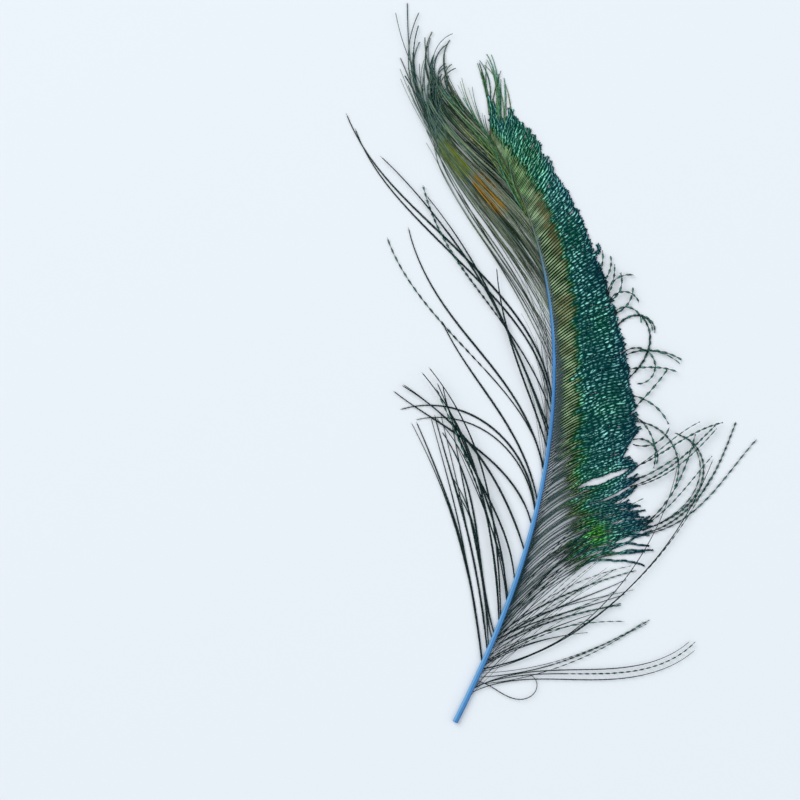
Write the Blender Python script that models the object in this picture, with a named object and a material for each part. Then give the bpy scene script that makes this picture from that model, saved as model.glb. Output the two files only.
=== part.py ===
"""A cut peacock sword feather lying face up, with its shaft along +Y and its broad outer vane to +X.

Lengths are in millimetres in this file and become metres when a mesh is made. A place along the shaft is
its distance from the cut end. Headings are degrees anticlockwise from +X.
"""

import math

import bpy
import numpy as np

MM = 0.001

# The shaft: a clothoid arc, flat underneath, narrowing from the cut end to the tip.
SHAFT_LENGTH = 277.0
SHAFT_HEADING = 63.2
SHAFT_TURN = 0.078
SHAFT_TURN_GROWTH = 0.0005
SHAFT_WIDTH = 2.5
SHAFT_TIP_WIDTH = 0.5
SHAFT_TAPER = 1.7
SHAFT_HEIGHT_RATIO = 0.95
SHAFT_STATIONS = 42
# The shaft's section, across and up, as shares of its width and height: a flat foot and bevelled corners.
SHAFT_SECTION = ((-0.25, 0), (0.25, 0), (0.5, 0.3), (0.5, 0.7), (0.25, 1), (-0.25, 1), (-0.5, 0.7), (-0.5, 0.3))
LINE_STEP = 0.5

CLEARANCE = 0.35
WEB_THICKNESS = 1.5
WEB_RISE = 0.45

# Barbs along the outer web: place, length, angle from the shaft, turn on the way to the tip.
OUTER_BARBS = (
    (14, 66, 21, -24),
    (40, 78, 20, -30),
    (58, 73, 20, -45),
    (72, 63, 22, -47),
    (88, 54, 28, -38),
    (104, 50, 38, -26),
    (135, 42, 46, -26),
    (163, 35, 52, -22),
    (194, 28, 56, -14),
    (215, 23, 57, -6),
    (240, 19, 57, 0),
    (262, 18, 50, 6),
    (277, 16, 30, 6),
)
# Barbs along the inner web towards the tip: place, length, angle, turn, and how hard the turn reverses.
INNER_BARBS = (
    (166, 158, 24, 45, -66),
    (185, 150, 22, 49, -71),
    (225, 113, 18, 60, -98),
    (262, 70, 14, 38, -84),
    (276, 46, 6, 22, -50),
)
# Where the outer web has parted: place, start and end along the barbs, half opening, reach along the
# shaft, and whether the tips meet again.
PARTINGS = (
    (99.5, 0.42, 2.1, 10, True),
    (83, 0.78, 2.8, 8, False),
    (56, 0.72, 0.9, 4, False),
    (45, 0.50, 1.8, 5, False),
)

# The web's locks, from the tip down: name, first and last place along the shaft.
OUTER_LOCKS = (
    ("outer_vane", 99.5, 262),
    ("middle_lock", 83, 99.5),
    ("lower_lock", 56, 83),
    ("base_lock", 45, 56),
)
LOCK_STEP = 7.0
LOCK_ROWS = 7
LOCK_MARGIN = 0.5
BARB_SAMPLES = 25
END_GAP = 1.2

# The tuft at the very tip, and the long points that stand out of it.
TUFT_PLACES = (262.5, 276)
TUFT_POINTS = (
    (275.5, 17, 98, 6, 4, 0),
    (272, 24, 84, 12, 26, 0),
    (268.5, 15, 86, 8, 4, 0),
)

# The dense inner plume, and the strands that come out of its end.
PLUME_PLACES = (168, 275)
PLUME_SAMPLE = 15
# Each strand: the place whose barb it carries on from, length, turn, change, layer.
PLUME_STRANDS = (
    (170, 56, -8, -8, 0),
    (184, 58, -24, 4, 1),
    (196, 54, -20, -6, 2),
    (208, 54, -30, 10, 3),
    (220, 50, -4, -34, 4),
    (232, 44, -26, 4, 2),
    (244, 40, -6, -48, 0),
    (256, 32, -26, -14, 1),
    (266, 28, -4, -56, 0),
    (274, 22, -10, -10, 1),
)

# Loose barbs: place, length, angle from the shaft (+ to the inner side), turn, turn's own change, layer.
INNER_LOOSE = (
    (154, 160, 12, 135, -122, 0),
    (147, 118, 22, 80, -84, 1),
    (139, 146, 26, 16, 12, 2),
    (131, 84, 24, 22, -34, 3),
    (121, 126, 20, 112, -110, 0),
    (107, 92, 23, 77, -62, 0),
    (103, 86, 18, 92, 10, 0),
    (96, 88, 27, 126, -88, 1),
    (84, 94, 32, 42, 1, 2),
    (70, 93, 24, 82, -77, 3),
    (60, 103, 24, 44, -23, 4),
    (50, 119, 24, 13, 25, 5),
    (44, 94, 38, -45, 64, 0),
    (36, 108, 28, 26, -15, 0),
    (30, 112, 29, 22, -2, 0),
)
OUTER_LOOSE = (
    (43, 70, -27, -38, 12, 0),
    (40, 66, -31, -44, 34, 0),
    (37, 62, -34, -40, 20, 0),
    (34, 64, -31, -34, 6, 1),
    (31, 52, -33, -24, 8, 2),
    (27, 146, -54, 72, -16, 2),
    (23, 82, -62, 36, -8, 0),
    (18, 104, -40, -121, 143, 1),
)
# Free ends past the outer edge: the place whose barb they carry on from, length, heading, turn, change,
# layer.
STRAY_ENDS = (
    (59, 64, 12, 118, -62, 0),
    (63, 58, 20, 20, 125, 0),
    (67, 46, 34, 70, -30, 1),
    (88, 44, 16, 62, -34, 2),
    (100, 42, 24, 40, -52, 3),
    (148, 30, 42, 30, 70, 0),
    (158, 24, 30, -72, 10, 1),
    (172, 20, 54, -70, -80, 0),
)

LOOSE_WIDTH = 0.8
LOOSE_TIP_WIDTH = 0.45
LOOSE_CLEARANCE = 0.55
LOOSE_RISE = 0.22
LAYER_STEP = 0.85
LAYER_FLOOR = 0.55
TUBE_SEGMENTS = 11
TUBE_SIDES = 6


def heading(place):
    return SHAFT_HEADING + SHAFT_TURN * place + SHAFT_TURN_GROWTH * place**2


def walk(headings, step):
    """Points of a path that starts at the origin and takes a step of this length along each heading."""
    angles = np.radians(headings)
    moves = np.stack([np.cos(angles), np.sin(angles)], axis=-1) * step
    middles = (moves[1:] + moves[:-1]) / 2
    return np.concatenate([np.zeros((1, 2)), np.cumsum(middles, axis=0)])


def shaft_line():
    places = np.arange(0, SHAFT_LENGTH + LINE_STEP, LINE_STEP)
    return places, walk(heading(places), LINE_STEP)


PLACES, LINE = shaft_line()


def shaft_point(place):
    return np.array([np.interp(place, PLACES, LINE[:, axis]) for axis in (0, 1)])


def shaft_width(place):
    return SHAFT_TIP_WIDTH + (SHAFT_WIDTH - SHAFT_TIP_WIDTH) * (1 - (place / SHAFT_LENGTH) ** SHAFT_TAPER)


def beside_shaft(place, side, gap):
    """The point this far out from the shaft's flank: side is 1 on the inner side and -1 on the outer."""
    across = math.radians(heading(place) + 90 * side)
    reach = shaft_width(place) / 2 + gap
    return shaft_point(place) + reach * np.array([math.cos(across), math.sin(across)])


def blend(stations, place):
    """The stations' values at a place, on a smooth curve through them."""
    table = np.array(stations, float)
    places, values = table[:, 0], table[:, 1:]
    slopes = np.gradient(values, places, axis=0)
    i = int(np.clip(np.searchsorted(places, place) - 1, 0, len(places) - 2))
    span = places[i + 1] - places[i]
    u = min(max((place - places[i]) / span, 0), 1)
    return (
        values[i] * (1 + 2 * u) * (1 - u) ** 2
        + values[i + 1] * u * u * (3 - 2 * u)
        + slopes[i] * span * u * (1 - u) ** 2
        - slopes[i + 1] * span * u * u * (1 - u)
    )


def barb(start, first_heading, length, turn, change, count):
    """A barb whose heading is the first one + turn * t + change * t^2, as t goes from 0 to 1."""
    t = np.linspace(0, 1, count)
    return start + walk(first_heading + turn * t + change * t * t, length / (count - 1))


def parted(place, t):
    """How far a parting near this place pushes a barb along the shaft, at t along the barb."""
    push = 0.0
    for at, begins, opening, reach, closes in PARTINGS:
        u = np.clip((t - begins) / (1 - begins), 0, 1)
        lens = np.sin(math.pi * u) if closes else u**1.5
        side = 1 if place >= at else -1
        push = push + side * opening * math.exp(-abs(place - at) / reach) * lens
    return push


def outer_barb(place, count):
    length, leave, turn = blend(OUTER_BARBS, place)
    path = barb(beside_shaft(place, -1, CLEARANCE), heading(place) - leave, length, turn, 0, count)
    along = math.radians(heading(place))
    t = np.linspace(0, 1, count)
    return path + parted(place, t)[:, None] * np.array([math.cos(along), math.sin(along)])


def inner_barb(place, count):
    length, leave, turn, change = blend(INNER_BARBS, place)
    return barb(beside_shaft(place, 1, CLEARANCE), heading(place) + leave, length, turn, change, count)


def web_heights(place, t):
    """A web hangs from the upper half of the shaft and comes down to the ground at its edge."""
    low = WEB_RISE * SHAFT_HEIGHT_RATIO * shaft_width(place) * (1 - t)
    return low, low + WEB_THICKNESS


def material(name, colour, roughness, metallic=0.0):
    made = bpy.data.materials.new(name)
    made.use_nodes = True
    shader = made.node_tree.nodes["Principled BSDF"]
    shader.inputs["Base Color"].default_value = (*colour, 1)
    shader.inputs["Roughness"].default_value = roughness
    shader.inputs["Metallic"].default_value = metallic
    return made


def add_object(name, points, faces, finish):
    mesh = bpy.data.meshes.new(name)
    mesh.from_pydata((np.asarray(points) * MM).tolist(), [], faces)
    mesh.materials.append(finish)
    mesh.shade_smooth()
    mesh.set_sharp_from_angle(angle=math.radians(40))
    made = bpy.data.objects.new(name, mesh)
    bpy.context.scene.collection.objects.link(made)
    return made


def loft(name, rings, finish):
    """One closed body through equal rings of points, which run anticlockwise seen from the start."""
    sides = len(rings[0])
    faces = [tuple(range(sides))]
    for ring in range(len(rings) - 1):
        for i in range(sides):
            a, b = ring * sides + i, ring * sides + (i + 1) % sides
            faces.append((b, a, a + sides, b + sides))
    faces.append(tuple(reversed(range((len(rings) - 1) * sides, len(rings) * sides))))
    return add_object(name, np.concatenate(rings), faces, finish)


def make_shaft(finish):
    """Eight-sided sections with a flat foot on the ground, a flat back and bevelled corners."""
    rings = []
    for place in np.linspace(0, SHAFT_LENGTH, SHAFT_STATIONS):
        width = shaft_width(place)
        height = width * SHAFT_HEIGHT_RATIO
        across = math.radians(heading(place) - 90)
        out, up = [], []
        for x, z in SHAFT_SECTION:
            out.append(x * width)
            up.append(z * height)
        flat = shaft_point(place) + np.outer(out, [math.cos(across), math.sin(across)])
        rings.append(np.column_stack([flat, up]))
    return loft("shaft", rings, finish)


def make_web(name, barb_at, first, last, finish, last_sample):
    """A thin closed sheet that the barbs from first to last sweep out, as far as this sample along them."""
    places = np.linspace(first, last, max(4, round((last - first) / LOCK_STEP) + 1))
    picks = np.linspace(0, last_sample, LOCK_ROWS).round().astype(int)
    top, bottom = [], []
    for place in places:
        for pick, point in zip(picks, barb_at(place, BARB_SAMPLES)[picks]):
            low, high = web_heights(place, pick / (BARB_SAMPLES - 1))
            bottom.append((*point, low))
            top.append((*point, high))
    return sheet(name, top, bottom, len(places), LOCK_ROWS, finish)


def sheet(name, top, bottom, columns, rows, finish):
    """A closed body between two grids of points that share their outline."""
    under = len(top)
    faces = []
    for c in range(columns - 1):
        for r in range(rows - 1):
            a, b = c * rows + r, (c + 1) * rows + r
            faces.append((a, a + 1, b + 1, b))
            faces.append((under + b, under + b + 1, under + a + 1, under + a))
    rim = [c * rows for c in range(columns)]
    rim += [(columns - 1) * rows + r for r in range(1, rows)]
    rim += [c * rows + rows - 1 for c in range(columns - 2, -1, -1)]
    rim += list(range(rows - 2, 0, -1))
    for a, b in zip(rim, rim[1:] + rim[:1]):
        faces.append((a, b, under + b, under + a))
    made = add_object(name, top + bottom, faces, finish)
    if signed_volume(made.data) < 0:
        made.data.flip_normals()
    return made


def signed_volume(mesh):
    mesh.calc_loop_triangles()
    corners = [[mesh.vertices[i].co for i in triangle.vertices] for triangle in mesh.loop_triangles]
    return sum(a.dot(b.cross(c)) for a, b, c in corners) / 6


def make_tube(name, path, heights, widths, finish):
    """A thin tapering barb along a path on the ground plan, with its middle at the given heights."""
    spine = np.column_stack([path, heights])
    ahead = np.gradient(spine, axis=0)
    ahead /= np.linalg.norm(ahead, axis=1)[:, None]
    across = np.cross(ahead, (0, 0, 1))
    across /= np.linalg.norm(across, axis=1)[:, None]
    up = np.cross(across, ahead)
    angles = np.arange(TUBE_SIDES) * 2 * math.pi / TUBE_SIDES
    rings = []
    for point, right, top, width in zip(spine, across, up, widths):
        ring = np.outer(np.cos(angles), right) + np.outer(np.sin(angles), top)
        rings.append(point + ring * width / 2)
    return loft(name, rings, finish)


def loose_heights(start, layer, count):
    """A barb leaves the shaft at the start height and settles on its own layer."""
    t = np.linspace(0, 1, count)
    ease = np.clip(t / LOOSE_RISE, 0, 1)
    ease = ease * ease * (3 - 2 * ease)
    return start + (LAYER_FLOOR + layer * LAYER_STEP - start) * ease


def make_loose(name, row, side, finish, count=TUBE_SEGMENTS + 1):
    """A barb that leaves the shaft on its own, at half the shaft's height."""
    place, length, leave, turn, change, layer = row
    path = barb(beside_shaft(place, side, LOOSE_CLEARANCE), heading(place) + leave, length, turn, change, count)
    start = 0.5 * SHAFT_HEIGHT_RATIO * shaft_width(place)
    widths = np.linspace(LOOSE_WIDTH, LOOSE_TIP_WIDTH, count)
    return make_tube(name, path, loose_heights(max(start, LAYER_FLOOR), layer, count), widths, finish)


def make_stray(name, row, finish, count=TUBE_SEGMENTS + 1):
    """A free end that goes on from the edge of the outer web."""
    place, length, first_heading, turn, change, layer = row
    edge = outer_barb(place, BARB_SAMPLES)[-1]
    out = math.radians(first_heading)
    start = edge + END_GAP * np.array([math.cos(out), math.sin(out)])
    path = barb(start, first_heading, length, turn, change, count)
    heights = np.full(count, LAYER_FLOOR + layer * LAYER_STEP)
    return make_tube(name, path, heights, np.linspace(LOOSE_WIDTH, LOOSE_TIP_WIDTH, count), finish)


def make_strand(name, row, finish, count=TUBE_SEGMENTS + 1):
    """A strand that goes on from the plume's end, along the barb that it belongs to."""
    place, length, turn, change, layer = row
    last, end = inner_barb(place, BARB_SAMPLES)[PLUME_SAMPLE - 1 : PLUME_SAMPLE + 1]
    ahead = (end - last) / np.linalg.norm(end - last)
    first_heading = math.degrees(math.atan2(ahead[1], ahead[0]))
    path = barb(end + END_GAP * ahead, first_heading, length, turn, change, count)
    heights = np.full(count, LAYER_FLOOR + layer * LAYER_STEP)
    return make_tube(name, path, heights, np.linspace(LOOSE_WIDTH, LOOSE_TIP_WIDTH, count), finish)


def centre_on_ground(objects):
    """Moves everything so that the middle of the whole feather's outline is over the origin."""
    points = np.array([vertex.co for item in objects for vertex in item.data.vertices])
    middle = (points.min(axis=0) + points.max(axis=0)) / 2
    for item in objects:
        for vertex in item.data.vertices:
            vertex.co.x -= middle[0]
            vertex.co.y -= middle[1]


def main():
    for old in list(bpy.data.objects):
        bpy.data.objects.remove(old)
    blue = material("dyed_shaft", (0.055, 0.215, 0.58), 0.4)
    emerald = material("iridescent_web", (0.01, 0.11, 0.075), 0.35, 0.4)
    dark = material("loose_barb", (0.02, 0.035, 0.03), 0.5)
    made = [make_shaft(blue)]
    for name, first, last in OUTER_LOCKS:
        made.append(make_web(name, outer_barb, first + LOCK_MARGIN, last - LOCK_MARGIN, emerald, BARB_SAMPLES - 1))
    made.append(make_web("tip_tuft", outer_barb, *TUFT_PLACES, emerald, BARB_SAMPLES - 1))
    made.append(make_web("tip_plume", inner_barb, *PLUME_PLACES, emerald, PLUME_SAMPLE))
    for i, row in enumerate(INNER_LOOSE, 1):
        made.append(make_loose(f"inner_barb_{i:02d}", row, 1, dark))
    for i, row in enumerate(OUTER_LOOSE, 1):
        made.append(make_loose(f"base_barb_{i:02d}", row, -1, dark))
    for i, row in enumerate(STRAY_ENDS, 1):
        made.append(make_stray(f"stray_end_{i:02d}", row, dark))
    for i, row in enumerate(TUFT_POINTS, 1):
        made.append(make_stray(f"tuft_point_{i:02d}", row, emerald))
    for i, row in enumerate(PLUME_STRANDS, 1):
        made.append(make_strand(f"plume_strand_{i:02d}", row, dark))
    centre_on_ground(made)


main()
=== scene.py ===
import math
import bpy
import numpy as np
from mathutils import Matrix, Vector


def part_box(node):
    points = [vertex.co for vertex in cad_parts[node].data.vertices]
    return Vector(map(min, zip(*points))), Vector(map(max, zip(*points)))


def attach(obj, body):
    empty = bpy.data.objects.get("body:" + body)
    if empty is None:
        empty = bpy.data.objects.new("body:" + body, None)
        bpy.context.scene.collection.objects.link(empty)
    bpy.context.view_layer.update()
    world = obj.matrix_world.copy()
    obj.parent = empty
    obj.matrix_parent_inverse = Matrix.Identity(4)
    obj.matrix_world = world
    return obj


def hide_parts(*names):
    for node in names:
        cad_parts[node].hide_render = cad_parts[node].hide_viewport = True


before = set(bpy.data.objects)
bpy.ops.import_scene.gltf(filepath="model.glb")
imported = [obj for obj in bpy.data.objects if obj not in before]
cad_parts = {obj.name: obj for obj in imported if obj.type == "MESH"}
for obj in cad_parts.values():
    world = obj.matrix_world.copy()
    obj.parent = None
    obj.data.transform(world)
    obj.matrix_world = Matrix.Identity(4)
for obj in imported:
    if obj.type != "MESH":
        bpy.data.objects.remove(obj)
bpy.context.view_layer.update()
print("frame loaded")

mm = 0.001
rng = np.random.default_rng(11)
fleckDraws = 80  # random brightnesses of the painted highlights kept for the flecks of one barb

# lengths are millimetres, angles degrees, headings anticlockwise from +X, places counted from the cut end
shaft = {
    "length": 277.0, "heading": 63.2, "turn": 0.078, "growth": 0.0005,
    "width": 2.5, "tipWidth": 0.5, "taper": 1.7, "heightRatio": 0.95,
    "rings": 260, "sides": 40, "pithDepth": 0.5, "wall": 0.3, "roundness": 0.72, "ridge": (0.05, 0.09),
}


def headingAt(place):
    return shaft["heading"] + shaft["turn"] * place + shaft["growth"] * place**2


# steps of one length along each heading, joined end to end
def walk(headings, step):
    angle = np.radians(headings)
    moves = np.stack([np.cos(angle), np.sin(angle)], -1) * np.asarray(step)[..., None, None]
    path = np.zeros_like(moves)
    path[..., 1:, :] = np.cumsum((moves[..., 1:, :] + moves[..., :-1, :]) / 2, axis=-2)
    return path


linePlaces = np.arange(0, shaft["length"] + 0.5, 0.5)
line = walk(headingAt(linePlaces), 0.5)


def shaftPoint(place):
    return np.stack([np.interp(place, linePlaces, line[:, axis]) for axis in (0, 1)], -1)


def shaftWidth(place):
    share = np.clip(np.asarray(place) / shaft["length"], 0, 1)
    return shaft["tipWidth"] + (shaft["width"] - shaft["tipWidth"]) * (1 - share ** shaft["taper"])


# unit vector across the shaft: side 1 points to the inner web, -1 to the outer one
def acrossShaft(place, side):
    angle = np.radians(headingAt(place) + 90 * side)
    return np.stack([np.cos(angle), np.sin(angle)], -1)


# where a barb is rooted, just inside the shaft's flank
def besideShaft(place, side):
    return shaftPoint(place) + acrossShaft(place, side) * (shaftWidth(place) * 0.42)[:, None]


def alongShaft(place):
    return acrossShaft(place, 1)[:, ::-1] * (1, -1)


def smooth(low, high, x):
    u = np.clip((x - low) / (high - low), 0, 1)
    return u * u * (3 - 2 * u)


# 1 between the middle two of four places, easing to 0 at the outer two
def window(limits, x):
    return smooth(limits[0], limits[1], x) * smooth(limits[3], limits[2], x)


# cubic curve through the stations' values, with slopes taken from the stations on both sides
def blend(stations, place):
    table = np.array(stations, float)
    places, values = table[:, 0], table[:, 1:]
    slopes = np.gradient(values, places, axis=0)
    i = np.clip(np.searchsorted(places, place) - 1, 0, len(places) - 2)
    span = (places[i + 1] - places[i])[:, None]
    u = np.clip((place - places[i])[:, None] / span, 0, 1)
    rise = values[i] * (1 + 2 * u) * (1 - u) ** 2 + values[i + 1] * u * u * (3 - 2 * u)
    return (rise + span * u * (1 - u) * (slopes[i] * (1 - u) - slopes[i + 1] * u)).T


# the model's origin is under the middle of the CAD box, and the shaft tells where that is
shaftLow, shaftHigh = (np.array(corner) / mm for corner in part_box("shaft"))
flanks = np.concatenate([
    shaftPoint(linePlaces) + acrossShaft(linePlaces, side) * shaftWidth(linePlaces)[:, None] / 2
    for side in (-1, 1)
])
origin = np.append((flanks.min(0) + flanks.max(0) - shaftLow[:2] - shaftHigh[:2]) / 2, 0)


# mesh from arrays of points and faces, with a map and named numbers at its points
def newPiece(name, points, faces, flat, uv, numbers, material):
    mesh = bpy.data.meshes.new(name)
    mesh.vertices.add(len(points))
    mesh.vertices.foreach_set("co", ((points - origin) * mm).astype(np.float32).ravel())
    corners = np.concatenate([block.ravel() for block in faces])
    sizes = np.concatenate([np.full(len(block), block.shape[1]) for block in faces])
    mesh.loops.add(len(corners))
    mesh.loops.foreach_set("vertex_index", corners.astype(np.int32))
    mesh.polygons.add(len(sizes))
    mesh.polygons.foreach_set("loop_start", (np.cumsum(sizes) - sizes).astype(np.int32))
    smoothFaces = np.concatenate([np.full(len(block), not isFlat) for block, isFlat in zip(faces, flat)])
    mesh.polygons.foreach_set("use_smooth", smoothFaces)
    mesh.uv_layers.new(name="OFBake").data.foreach_set("uv", uv[corners].astype(np.float32).ravel())
    for key, values in numbers.items():
        mesh.attributes.new(key, "FLOAT", "POINT").data.foreach_set("value", values.astype(np.float32))
    mesh.update(calc_edges=True)
    mesh.validate()
    mesh.materials.append(material)
    piece = bpy.data.objects.new(name, mesh)
    bpy.context.scene.collection.objects.link(piece)
    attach(piece, "root")
    triangles = sum(len(block) * (block.shape[1] - 2) for block in faces)
    print(name, triangles, "triangles")
    return piece


# a socket with Python's arithmetic: each operator adds a Math node
class Value:
    def __init__(self, sheet, socket):
        self.sheet, self.socket = sheet, socket

    def math(self, operation, *others, flip=False):
        inputs = [other.socket if isinstance(other, Value) else other for other in (self, *others)]
        if flip:
            inputs.reverse()
        return self.sheet.add("ShaderNodeMath", {"operation": operation}, dict(enumerate(inputs)))

    def __add__(self, other): return self.math("ADD", other)
    def __radd__(self, other): return self.math("ADD", other)
    def __sub__(self, other): return self.math("SUBTRACT", other)
    def __rsub__(self, other): return self.math("SUBTRACT", other, flip=True)
    def __mul__(self, other): return self.math("MULTIPLY", other)
    def __rmul__(self, other): return self.math("MULTIPLY", other)

    def step(self, low, high):
        return self.sheet.add("ShaderNodeMapRange", {"interpolation_type": "SMOOTHSTEP"},
                              {"Value": self, "From Min": low, "From Max": high})


# one material's nodes, with a method that adds any node
class Sheet:
    def __init__(self, name):
        self.material = bpy.data.materials.new(name)
        self.material.use_nodes = True
        self.nodes, self.links = self.material.node_tree.nodes, self.material.node_tree.links
        self.shader = self.nodes["Principled BSDF"]

    def add(self, kind, settings=None, inputs=None, output=0):
        node = self.nodes.new(kind)
        for key, setting in (settings or {}).items():
            if key == "stops":
                self.fillRamp(node.color_ramp, setting)
            else:
                setattr(node, key, setting)
        for key, given in (inputs or {}).items():
            self.feed(node.inputs[key], given)
        return Value(self, node.outputs[output])

    def fillRamp(self, ramp, stops):
        while len(ramp.elements) < len(stops):
            ramp.elements.new(0.5)
        for element, (position, colour) in zip(ramp.elements, stops):
            element.position, element.color = position, (*colour, 1)

    def feed(self, socket, given):
        if isinstance(given, Value):
            given = given.socket
        if isinstance(given, bpy.types.NodeSocket):
            self.links.new(given, socket)
        elif isinstance(given, tuple) and len(given) == 3 and socket.type == "RGBA":
            socket.default_value = (*given, 1)
        else:
            socket.default_value = given

    def number(self, name):
        return self.add("ShaderNodeAttribute", {"attribute_name": name}, output="Fac")

    def noise(self, scale, detail=2.0):
        place = self.add("ShaderNodeTexCoord", output="Object")
        return self.add("ShaderNodeTexNoise", {}, {"Vector": place, "Scale": scale, "Detail": detail})

    def ramp(self, position, stops):
        return self.add("ShaderNodeValToRGB", {"stops": stops}, {"Fac": position})

    def mix(self, share, first, second):
        return self.add("ShaderNodeMix", {"data_type": "RGBA"}, {0: share, 6: first, 7: second}, output=2)

    def bump(self, height, strength, distance):
        inputs = {"Height": height, "Strength": strength, "Distance": distance}
        return self.add("ShaderNodeBump", {}, inputs)

    def finish(self, **inputs):
        for key, given in inputs.items():
            self.feed(self.shader.inputs[key], given)
        return self.material


# values of each barb's samples looked up between them, at t from 0 at its root to 1 at its tip
def between(values, row, t):
    x = t * (values.shape[1] - 1)
    i = np.minimum(x.astype(int), values.shape[1] - 2)
    share = (x - i).reshape(x.shape + (1,) * (values.ndim - 2))
    return values[row, i] * (1 - share) + values[row, i + 1] * share


def unit(vectors):
    return vectors / np.linalg.norm(vectors, axis=-1, keepdims=True)


# barbs: each is a four-sided stem along its spine, with two rows of barbules. A barbule is a thin closed
# spike from the stem, leaning towards the tip, and the rows turn round the stem by the barb's roll.
def barbPiece(name, barbs, material):
    spine, roll = barbs["spine"], np.radians(barbs["roll"])
    count, samples = roll.shape
    t = np.linspace(0, 1, samples)
    ahead = unit(np.gradient(spine, axis=1))
    side = unit(np.cross(ahead, (0.0, 0.0, 1.0)))
    top = np.cross(side, ahead)
    turned = [np.cos(roll)[..., None], np.sin(roll)[..., None]]
    across = turned[0] * side + turned[1] * top
    facing = turned[0] * top - turned[1] * side
    stem = barbs["stem"]
    ring = np.stack([across, facing * 1.2, -across, -facing * 1.2], 2) * stem[..., None, None]
    stemPoints = (spine[:, :, None, :] + ring).reshape(-1, 3)
    ids = np.arange(count * samples * 4).reshape(count, samples, 4)
    nextSide = np.roll(ids, -1, axis=2)
    walls = np.stack([ids[:, :-1], ids[:, 1:], nextSide[:, 1:], nextSide[:, :-1]], -1).reshape(-1, 4)
    caps = np.concatenate([ids[:, 0], ids[:, -1, ::-1]])
    band = 1 / (2 * count)
    row = np.arange(count)[:, None, None]
    stemU = np.clip(t[None, :, None] - np.array([0, 0, 1, 1]) * 0.3 / samples, 0.001, 0.999)
    stemV = (2 * row + 1.15 + 0.7 * np.array([0, 1, 0, 1])) * band
    stemUv = np.stack(np.broadcast_arrays(stemU, stemV), -1).reshape(-1, 2)
    stemNumbers = {key: np.repeat(barbs[key].ravel(), 4) for key in ("zone", "glint", "tint")}
    stemNumbers["out"] = np.full(len(stemPoints), -1.0)

    length = np.linalg.norm(np.diff(spine, axis=1), axis=-1).sum(1)
    each = np.maximum(4, (length * (barbs["to"] - barbs["from"]) / barbs["spacing"]).astype(int))
    row = np.repeat(np.arange(count), each)
    order = np.arange(each.sum()) - np.repeat(np.cumsum(each) - each, each)
    share = (order + 0.5) / each[row]
    t = barbs["from"][row] + share * (barbs["to"] - barbs["from"])[row]
    row, t = np.tile(row, 2), np.tile(t, 2)
    hand = np.repeat([1.0, -1.0], len(order))
    t = np.clip(t + rng.uniform(-0.25, 0.25, len(t)) * barbs["spacing"] / length[row], 0, 1)
    base, fore, out, up = (between(values, row, t) for values in (spine, ahead, across, facing))
    out = unit(out) * hand[:, None]
    up = unit(up)
    reach = between(barbs["half"], row, t) * rng.uniform(0.86, 1.1, len(t))
    thick = between(stem, row, t)[:, None]
    foot = base + out * thick * 0.7
    half = fore * (barbs["spacing"] * barbs["overlap"])
    lift = up * 0.03
    lean = between(barbs["lean"], row, t) * rng.uniform(0.85, 1.15, len(t))
    tip = base + out * reach[:, None] + fore * (reach * lean)[:, None]
    tip = tip - up * (reach * barbs["droop"])[:, None]
    bladePoints = np.stack([foot - half - lift, foot + half + lift, tip, foot - up * 0.07], 1)
    bladePoints[..., 2] = np.maximum(bladePoints[..., 2], 0.02)
    ids = np.arange(len(t) * 4).reshape(-1, 4) + len(stemPoints)
    orders = np.where(hand[:, None, None] > 0, [[0, 2, 1], [2, 0, 3], [1, 2, 3], [0, 1, 3]],
                      [[0, 1, 2], [1, 0, 3], [2, 1, 3], [0, 2, 3]])
    blades = np.take_along_axis(ids[:, None, :], orders, 2).reshape(-1, 3)
    width = np.maximum(barbs["spacing"] * barbs["overlap"] / length[row], 0.0015)
    bladeU = t[:, None] + width[:, None] * np.array([-1, 1, 0.3, 0])
    bladeV = (2 * row[:, None] + 0.1 + 0.8 * np.array([0, 0, 1, 0.3])) * band
    bladeUv = np.stack([np.clip(bladeU, 0, 1), np.clip(bladeV, 0, 1)], -1).reshape(-1, 2)
    numbers = {key: np.repeat(between(barbs[key], row, t), 4) for key in ("zone", "glint", "tint")}
    numbers["out"] = np.tile([0.0, 0.0, 1.0, 0.3], len(t))
    # a fleck's painted highlight kept on one row of barbules, with the other row painted darker, where the
    # barb's favour says so
    if "favour" in barbs:
        numbers["glint"] *= np.repeat(1 - 0.85 * np.clip(-hand * between(barbs["favour"], row, t), 0, 1), 4)
    points = np.concatenate([stemPoints, bladePoints.reshape(-1, 3)])
    points[:, 2] = np.maximum(points[:, 2], 0.02)
    uv = np.concatenate([stemUv, bladeUv])
    both = {key: np.concatenate([stemNumbers[key], numbers[key]]) for key in numbers}
    return newPiece(name, points, [walls, caps, blades], [False, True, True], uv, both, material)


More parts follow.
